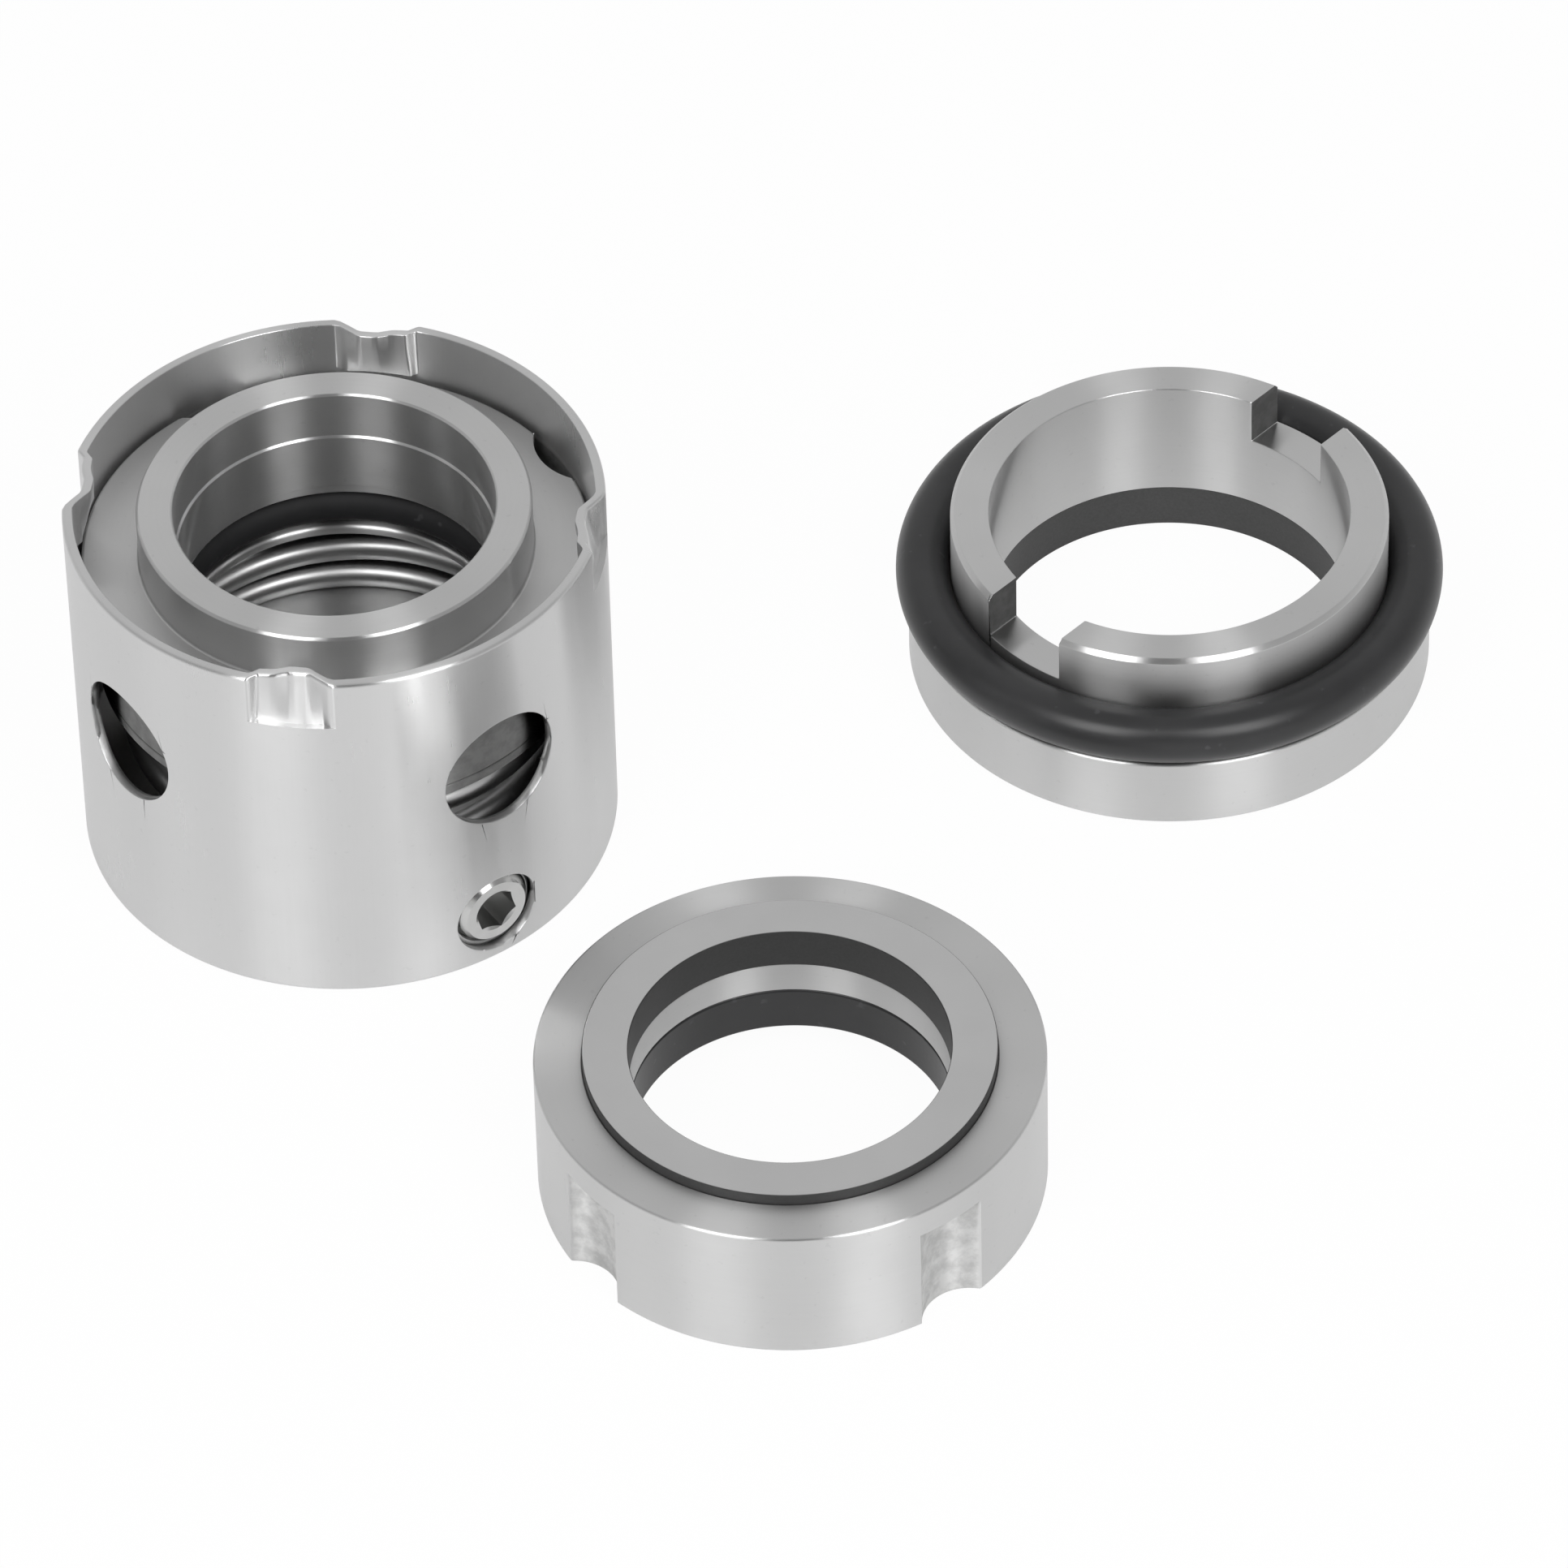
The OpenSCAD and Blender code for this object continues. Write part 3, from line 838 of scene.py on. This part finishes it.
class SEAL_OT_drive_shell(bpy.types.Operator):
    """Builds the pressed drive shell with its windows, screw holes and crimps"""

    bl_idname = "seal.drive_shell"
    bl_label = "Drive shell"

    def execute(self, context):
        shell = context.scene.seal_shell
        screws = context.scene.seal_screws
        height = top("drive_shell")
        obj = placed("pressed_shell", shell_mesh(shell, height))
        inside, reach = shell.radius - 4 * shell.sheet, 6 * shell.sheet
        window_sides = 160
        cutters = [
            rod(shell.window_radius, reach, outward(turn, inside, shell.window_height), window_sides)
            for turn in spaced(shell.window_angle, shell.crimp_count)
        ]
        cutters += [
            rod(shell.screw_hole_radius, reach, outward(turn, inside, screws.height))
            for turn in spaced(screws.first_angle, 2)
        ]
        cut(obj, *cutters)
        # Only the short edges round a hole are rounded, not those where the wall's own faces meet
        edged(obj, shell.hole_edge, 1.05 * shell.sheet, height - shell.rim - MM, longest=0.4 * MM)
        dressed(obj, "root", "drawn_steel", "drive_shell")
        true_walls(obj, [(shell.radius, 1), (shell.radius - shell.sheet, -1)])
        return {"FINISHED"}


def screw_mesh(screws):
    """A set screw along Z with its tip at zero: thread, cup end and chamfered socket end."""
    around, rows_a_pitch = 72, 12
    flank_curve = 1.2
    end = screws.screw_length
    rows = round(end / screws.pitch * rows_a_pitch)
    columns = []
    for column in range(around):
        points = [(0, 0)]
        for row in range(rows + 1):
            z = end * row / rows
            phase = (z / screws.pitch - column / around) % 1
            groove = screws.thread_depth * (1 - abs(2 * phase - 1)) ** flank_curve
            tip = screws.radius - screws.tip_chamfer + z
            head = screws.radius - screws.end_chamfer + end - z
            points.append((min(screws.radius - groove, tip, head), z))
        points.append((0, end))
        columns.append([polar(TAU * column / around, *point) for point in points])
    return skin("set_screw", columns, open_section=True)


def cut_ends(screw, screws):
    """Cuts the hexagon socket, the chamfer at its mouth and the cup point."""
    sides, end = 64, screws.screw_length
    corners = screws.socket / 2 / math.cos(math.pi / 6)
    chamfer = screws.socket_chamfer
    spread = 1.5 * chamfer
    socket = Matrix.Rotation(screws.socket_turn, 4, "Z") @ about(0, 0, end - screws.socket_depth)
    # The cup's cone starts just below the tip and ends almost in a point
    cup, point = about(0, 0, -0.001 * MM), 0.0002 * MM
    cut(screw, rod(corners, screws.socket_depth + CLEAR, socket, 6))
    cut(screw, rod(corners - spread, 2 * chamfer, about(0, 0, end - chamfer), sides, corners + spread))
    cut(screw, rod(screws.cup_radius, screws.cup_depth, cup, sides, point))


class SEAL_OT_collar_and_screws(bpy.types.Operator):
    """Builds the drive collar and its two socket set screws"""

    bl_idname = "seal.collar_and_screws"
    bl_label = "Collar and set screws"

    def execute(self, context):
        screws = context.scene.seal_screws
        shell = context.scene.seal_shell
        bore = mount_radius("shaft_bore")
        height = top("drive_collar")
        corner = 0.3
        section = rounded(
            (bore, 0, 0.1),
            (screws.boss_radius, 0, 0.1),
            (screws.boss_radius, shell.sheet, 0),
            (screws.collar_radius - corner * MM, shell.sheet, 0),
            (screws.collar_radius, shell.sheet + corner * MM, 0),
            (screws.collar_radius, height, corner),
            (bore, height, corner),
        )
        collar = placed("drive_collar_ring", turned("drive_collar", section))
        hole = screws.radius + screws.thread_gap
        inside = 8 * MM
        turns = spaced(screws.first_angle, 2)
        cut(collar, *(rod(hole, shell.radius, outward(turn, inside, screws.height)) for turn in turns))
        edged(collar, 0.1 * MM, shell.sheet, height)
        dressed(collar, "root", "turned_steel", "drive_collar")
        for index, turn in enumerate(turns, 1):
            name = f"set_screw_{index}"
            place = outward(turn, screws.tip, screws.height)
            screw = placed(f"socket_{name}", screw_mesh(screws), place)
            cut_ends(screw, screws)
            dressed(screw, f"screw_{index}", "screw_steel", name)
        return {"FINISHED"}


def spring_mesh(spring, low, high):
    """Round wire wound left-hand between two heights, its end turns closed up and its ends cut flat."""
    rings_a_turn, sides = 120, 24
    rings = round(rings_a_turn * spring.turns)
    end_rounding = 0.12 * MM
    lift = high - low - 2 * spring.wire_radius
    # The first and the last ring lie in the flat ends
    shares = [0.0] + [k / rings for k in range(rings + 1)] + [1.0]
    last = len(shares) - 1
    vertices = []
    for index, share in enumerate(shares):
        radius = spring.wire_radius - (end_rounding if index in (0, last) else 0)
        turn = spring.start - TAU * spring.turns * share
        rise = lift * (share - spring.closing * math.sin(TAU * share) / TAU)
        ring = circle(spring.coil_radius, low + spring.wire_radius + rise, radius, sides)
        vertices += [polar(turn, *point) for point in ring]
    faces = [
        (k * sides + j, (k + 1) * sides + j, (k + 1) * sides + (j + 1) % sides, k * sides + (j + 1) % sides)
        for k in range(last)
        for j in range(sides)
    ]
    faces += [tuple(range(sides)), tuple(last * sides + j for j in range(sides))]
    return mesh_from("coil_spring", vertices, faces)


class SEAL_OT_coil_spring(bpy.types.Operator):
    """Builds the coil spring"""

    bl_idname = "seal.coil_spring"
    bl_label = "Coil spring"

    def execute(self, context):
        spring = context.scene.seal_spring
        low, high = bottom("coil_spring"), top("coil_spring")
        obj = placed("round_wire_spring", spring_mesh(spring, low, high))
        dressed(obj, "root", "spring_wire", "coil_spring")
        applied(obj)
        travel = next(j for j in frame["joints"] if j["name"] == "carrier_slide")["range_m"][1]
        seat_height = top("drive_collar")
        room = bottom("thrust_ring") - seat_height
        (room - travel) / room
        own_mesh(obj)
        return {"FINISHED"}


def o_ring_mesh(node, radius, cord):
    """An O-ring at its CAD node's height, its cord a trace thinner than the CAD's."""
    height = (bottom(node) + top(node)) / 2
    sides, trace = 64, 0.012 * MM
    return turned(node, circle(radius, height, cord - trace, sides))


class SEAL_OT_carrier(bpy.types.Operator):
    """Builds the carrier ring, the thrust ring under it and the shaft O-ring in its groove"""

    bl_idname = "seal.carrier"
    bl_label = "Carrier ring"

    def execute(self, context):
        carrier = context.scene.seal_carrier
        low, high = bottom("carrier_ring"), top("carrier_ring")
        groove_top = low + carrier.groove_height
        relief_top = groove_top + carrier.relief_height
        flange_low = low + carrier.skirt_height
        flange_top = flange_low + carrier.flange_height
        step = high - carrier.counter_depth
        section = rounded(
            (carrier.groove, low, 0.1),
            (carrier.skirt, low, 0.3),
            (carrier.skirt, flange_low, 0),
            (carrier.flange, flange_low, 0.1),
            (carrier.flange, flange_top, 0.3),
            (carrier.nose, flange_top, 0.25),
            (carrier.nose, high - carrier.nose_chamfer, 0.15),
            (carrier.nose - carrier.nose_chamfer, high, 0.12),
            (carrier.counter_bore + carrier.mouth_chamfer, high, 0.1),
            (carrier.counter_bore, high - carrier.mouth_chamfer, 0.12),
            (carrier.counter_bore, step, 0.05),
            (carrier.bore, step - (carrier.counter_bore - carrier.bore), 0.05),
            (carrier.bore, relief_top, 0.05),
            (carrier.relief, relief_top - (carrier.relief - carrier.bore), 0.05),
            (carrier.relief, groove_top + carrier.groove_chamfer, 0.08),
            (carrier.relief + carrier.groove_chamfer, groove_top, 0.08),
            (carrier.groove, groove_top, 0.2),
        )
        ring = placed("carrier_turned_ring", turned("carrier_ring", section))
        radius, axis = carrier.notch_radius, carrier.notch_axis
        start, depth = flange_low - CLEAR, carrier.flange_height + 2 * CLEAR
        turns = spaced(carrier.notch_angle, 4)
        cut(ring, *(rod(radius, depth, about(turn, axis, start)) for turn in turns))
        edged(ring, 0.12 * MM, flange_low, flange_top)
        dressed(ring, "carrier", "turned_steel", "carrier_ring", kind="carrier_steel")

        low, high = bottom("thrust_ring"), top("thrust_ring")
        roundings = (0.3, 0.15, 0.15, 0.4)
        mesh = ring_mesh("thrust_ring", carrier.thrust_bore, carrier.skirt, low, high, roundings)
        washer = placed("thrust_washer", mesh)
        dressed(washer, "carrier", "turned_steel", "thrust_ring", kind="carrier_steel")

        mesh = o_ring_mesh("shaft_o_ring", carrier.cord_centre, carrier.cord_radius)
        o_ring = placed("shaft_rubber_ring", mesh)
        dressed(o_ring, "carrier", "black_rubber", "shaft_o_ring", kind="dull_rubber")
        return {"FINISHED"}


class SEAL_OT_face_ring(bpy.types.Operator):
    """Builds the rotary face ring: its holder, lapped insert and gasket"""

    bl_idname = "seal.face_ring"
    bl_label = "Rotary face ring"

    def execute(self, context):
        sizes = context.scene.seal_face_ring
        bore = mount_radius("face_ring_bore")
        place = Matrix.Translation(mount_place("face_ring_bore"))
        height = top("face_holder")
        lip_top = height - sizes.pocket_depth
        section = rounded(
            (sizes.recess, 0, 0.2),
            (sizes.holder, 0, 0.3),
            (sizes.holder, height, 0.3),
            (sizes.pocket, height, 0.12),
            (sizes.pocket, lip_top, 0),
            (bore, lip_top, 0),
            (bore, sizes.recess_depth, 0.15),
            (sizes.recess, sizes.recess_depth, 0.2),
        )
        holder = placed("face_ring_holder", turned("face_holder", section), place)
        half, depth = sizes.notch_half, sizes.notch_depth
        radius = (half**2 + depth**2) / (2 * depth)
        axis = sizes.holder - depth + radius
        reach = sizes.notch_height + CLEAR
        turns = spaced(sizes.notch_angle, 4)
        cut(holder, *(rod(radius, reach, about(turn, axis, -CLEAR)) for turn in turns))
        edged(holder, 0.1 * MM, 0.5 * MM, height)
        dressed(holder, "root", "turned_steel", "face_holder", kind="holder_steel")

        roundings = (0, 0, 0.15, 0.15)
        mesh = ring_mesh("face_insert", bore, sizes.insert, lip_top, top("face_insert"), roundings)
        dressed(placed("lapped_face_insert", mesh, place), "root", "light_lapped_face", "face_insert")

        low, high = bottom("face_gasket"), top("face_gasket")
        mesh = ring_mesh("face_gasket", bore, sizes.gasket, low, high, (0.35,) * 4)
        dressed(placed("bore_gasket", mesh, place), "root", "black_rubber", "face_gasket")
        return {"FINISHED"}


class SEAL_OT_seat(bpy.types.Operator):
    """Builds the stationary seat: its steel ring, dark insert and O-ring"""

    bl_idname = "seal.seat"
    bl_label = "Stationary seat"

    def execute(self, context):
        sizes = context.scene.seal_seat
        bore = mount_radius("seat_bore")
        place = Matrix.Translation(mount_place("seat_bore"))
        low, high = bottom("seat_ring"), top("seat_ring")
        insert_top = top("seat_insert")
        section = rounded(
            (sizes.pocket, low, 0.05),
            (sizes.flange, low, 0.3),
            (sizes.flange, sizes.flange_top, 0.3),
            (sizes.nose, sizes.flange_top, 0.3),
            (sizes.nose, high - sizes.nose_chamfer, 0.12),
            (sizes.nose - sizes.nose_chamfer, high, 0.12),
            (bore, high, 0.12),
            (bore, insert_top, 0.08),
            (sizes.pocket, insert_top, 0),
        )
        ring = placed("seat_turned_ring", turned("seat_ring", section), place)
        through_wall = 10 * MM
        slot = (sizes.slot_width, through_wall, 2 * sizes.slot_depth)
        middle = (bore + sizes.nose) / 2
        cut(ring, *(block(slot, about(turn, middle, high)) for turn in spaced(sizes.slot_angle, 2)))
        edged(ring, 0.12 * MM, sizes.flange_top, high)
        dressed(ring, "root", "turned_steel", "seat_ring", kind="seat_steel")

        mesh = ring_mesh("seat_insert", bore, sizes.insert, 0, insert_top, (0.15, 0.15, 0, 0))
        dressed(placed("dark_face_insert", mesh, place), "root", "dark_lapped_face", "seat_insert")

        mesh = o_ring_mesh("seat_o_ring", sizes.cord_centre, sizes.cord_radius)
        dressed(placed("seat_rubber_ring", mesh, place), "root", "black_rubber", "seat_o_ring")
        return {"FINISHED"}


class StageSizes(bpy.types.PropertyGroup):
    """Camera, lamps and floor"""

    focal: number("Focal length", "Focal length on the sensor, in mm", 279.5)
    distance: length("distance", "camera from the point it looks at", 1178)
    elevation: angle("camera above the floor", 43.95)
    roll: angle("camera about its view", 1.5)
    target_x: length("place along X", "floor point in the middle of the view", 41.8)
    target_y: length("place along Y", "floor point in the middle of the view", 1.2)
    floor_radius: length("radius", "flat floor", 2600)
    wall_height: length("height", "curved backdrop", 1100)
    lamp_distance: length("distance", "lamps from the seal", 900)
    lamp_angle: angle("lamps to either side of the camera", 31)
    lamp_width: length("width", "lamps", 320)
    lamp_height: length("height", "lamps", 520)
    lamp_level: number("Lamp level", "Radiance of the lamps' faces", 5.2)
    sky_level: number("Sky level", "Radiance of the room behind", 0.66)
    front_level: number("Front level", "Radiance of the room in front", 0.3)
    low_level: number("Low level", "Radiance of the room just above the floor", 0.75)
    gap_level: number("Gap level", "Radiance of the dark gap round the camera", 0.02)
    gap_angle: angle("dark gap's edge from the camera's direction", 21)


def add_camera(stage):
    """The camera at the photograph's viewing angle."""
    rise = stage.elevation
    side = Vector((1, 0, 0))
    over = Vector((0, math.sin(rise), math.cos(rise)))
    ahead = Vector((0, math.cos(rise), -math.sin(rise)))
    right = side * math.cos(stage.roll) - over * math.sin(stage.roll)
    upward = side * math.sin(stage.roll) + over * math.cos(stage.roll)
    target = Vector((stage.target_x, stage.target_y, 0))
    data = bpy.data.cameras.new("camera")
    data.lens = stage.focal
    data.clip_start = 0.05
    data.clip_end = 50
    camera = placed("camera", data)
    turn = Matrix((right, upward, -ahead)).transposed().to_4x4()
    camera.matrix_world = Matrix.Translation(target - ahead * stage.distance) @ turn
    bpy.context.scene.camera = camera


def add_lamps(stage):
    """Two soft lamps, one to either side of the camera."""
    centre = Vector((stage.target_x, stage.target_y, 0))
    area = stage.lamp_width * stage.lamp_height
    for name, turn in (("left_lamp", -stage.lamp_angle), ("right_lamp", stage.lamp_angle)):
        data = bpy.data.lights.new(name, "AREA")
        data.shape = "RECTANGLE"
        data.size = stage.lamp_width
        data.size_y = stage.lamp_height
        data.energy = stage.lamp_level * math.pi * area
        lamp = placed(name, data)
        rise = stage.elevation
        back = Vector(polar(turn, math.cos(rise), math.sin(rise)))
        lamp.location = centre + back * stage.lamp_distance
        lamp.rotation_euler = (-back).to_track_quat("-Z", "Y").to_euler()


def white_background(wire, surface, share, mirror_share):
    """Lets the camera, and metal and glass, see plain white in place of a share of the surface.

    The mirrored share may be a Wire.
    """
    camera, glossy, through = (
        wire.add("ShaderNodeLightPath", output=f"Is {kind} Ray")
        for kind in ("Camera", "Glossy", "Transmission")
    )
    mirrored = wire.math("MAXIMUM", glossy, through)
    seen = wire.math("MAXIMUM", camera * share, mirrored * mirror_share)
    white = wire.add("ShaderNodeEmission", inputs={"Strength": 1.0})
    return wire.add("ShaderNodeMixShader", inputs={0: seen, 1: surface, 2: white})


def add_floor(stage, finishes):
    """A pale floor that curves up into a backdrop all round."""
    material, wire = new_material("pale_floor")
    place, distance, _, _ = round_coordinates(wire)
    shade = wire.mix(place.noise(3.0), opaque(finishes.floor), opaque(finishes.floor, 1.03))
    paint = wire.add("ShaderNodeBsdfDiffuse", inputs={"Color": shade})
    # The floor inside the rotary unit's bore lies in the dark
    open_floor = distance.rise(16 * MM, 26 * MM)
    white_background(wire, paint, 0.96, open_floor * 0.42).end("ShaderNodeOutputMaterial")
    bend, bend_steps, steps = 0.5, 12, 96
    section = [(0.0, 0.0)]
    for k in range(bend_steps + 1):
        turn = math.pi / 2 * k / bend_steps
        section.append((stage.floor_radius + bend * math.sin(turn), bend * (1 - math.cos(turn))))
    section.append((stage.floor_radius + bend, stage.wall_height))
    floor = placed("floor", turned("floor", section, steps, open_section=True))
    floor.data.shade_smooth()
    floor.data.materials.append(material)


def add_room(stage):
    """The grey room overhead, which lights the seal evenly and shows in its level faces."""
    world = bpy.data.worlds.new("room")
    world.use_nodes = True
    world.node_tree.nodes.clear()
    wire = Wire(world.node_tree)
    x, y, height = wire.add("ShaderNodeTexCoord", output="Generated").split()
    # 0 towards the camera, 1 straight behind the seal
    turn = wire.math("ABSOLUTE", wire.math("ARCTAN2", x, y * -1.0)) * (1 / math.pi)
    gap, soft_edge = stage.gap_angle / math.pi, 0.02
    around = turn.ramp(
        (gap, stage.gap_level),
        (gap + soft_edge, stage.front_level),
        (0.5, stage.front_level * 1.3),
        (0.8, stage.sky_level),
    )
    low, high = (opaque((level,) * 3) for level in (stage.low_level, stage.sky_level * 0.9))
    around = wire.mix(height.rise(0.08, 0.2), low, around)
    grey = wire.mix(height.rise(0.85, 0.97), around, high)
    light = wire.add("ShaderNodeBackground", inputs={"Color": grey, "Strength": 1.0})
    light.end("ShaderNodeOutputWorld")
    bpy.context.scene.world = world


class SEAL_OT_stage(bpy.types.Operator):
    """Builds the floor, lamps, room and camera"""

    bl_idname = "seal.stage"
    bl_label = "Stage"

    def execute(self, context):
        stage = context.scene.seal_stage
        add_floor(stage, context.scene.seal_finishes)
        add_lamps(stage)
        add_room(stage)
        add_camera(stage)
        context.scene.view_settings.view_transform = "Standard"
        return {"FINISHED"}


class SEAL_PT_panel(bpy.types.Panel):
    """Lists the seal's pieces and their sizes"""

    bl_label = "Mechanical seal"
    bl_idname = "SEAL_PT_panel"
    bl_space_type = "VIEW_3D"
    bl_region_type = "UI"
    bl_category = "Seal"

    def draw(self, context):
        layout = self.layout
        for operator in OPERATORS:
            layout.operator(operator.bl_idname)
        for name, group in GROUPS.items():
            box = layout.box()
            box.label(text=group.__doc__)
            sizes = getattr(context.scene, name)
            for key in group.__annotations__:
                box.prop(sizes, key)


GROUPS = {
    "seal_shell": ShellSizes,
    "seal_screws": ScrewSizes,
    "seal_spring": SpringSizes,
    "seal_carrier": CarrierSizes,
    "seal_face_ring": FaceRingSizes,
    "seal_seat": SeatSizes,
    "seal_finishes": Finishes,
    "seal_stage": StageSizes,
}
OPERATORS = (
    SEAL_OT_drive_shell,
    SEAL_OT_collar_and_screws,
    SEAL_OT_coil_spring,
    SEAL_OT_carrier,
    SEAL_OT_face_ring,
    SEAL_OT_seat,
    SEAL_OT_stage,
)


def register():
    for group in GROUPS.values():
        bpy.utils.register_class(group)
    for name, group in GROUPS.items():
        setattr(bpy.types.Scene, name, PointerProperty(type=group))
    for item in (*OPERATORS, SEAL_PT_panel):
        bpy.utils.register_class(item)


def unregister():
    for item in reversed((*OPERATORS, SEAL_PT_panel)):
        bpy.utils.unregister_class(item)
    for name in GROUPS:
        delattr(bpy.types.Scene, name)
    for group in reversed(GROUPS.values()):
        bpy.utils.unregister_class(group)


def main():
    register()
    bpy.ops.seal.drive_shell()
    bpy.ops.seal.collar_and_screws()
    bpy.ops.seal.coil_spring()
    bpy.ops.seal.carrier()
    bpy.ops.seal.face_ring()
    bpy.ops.seal.seat()
    bpy.ops.seal.stage()


if __name__ == "__main__":
    main()
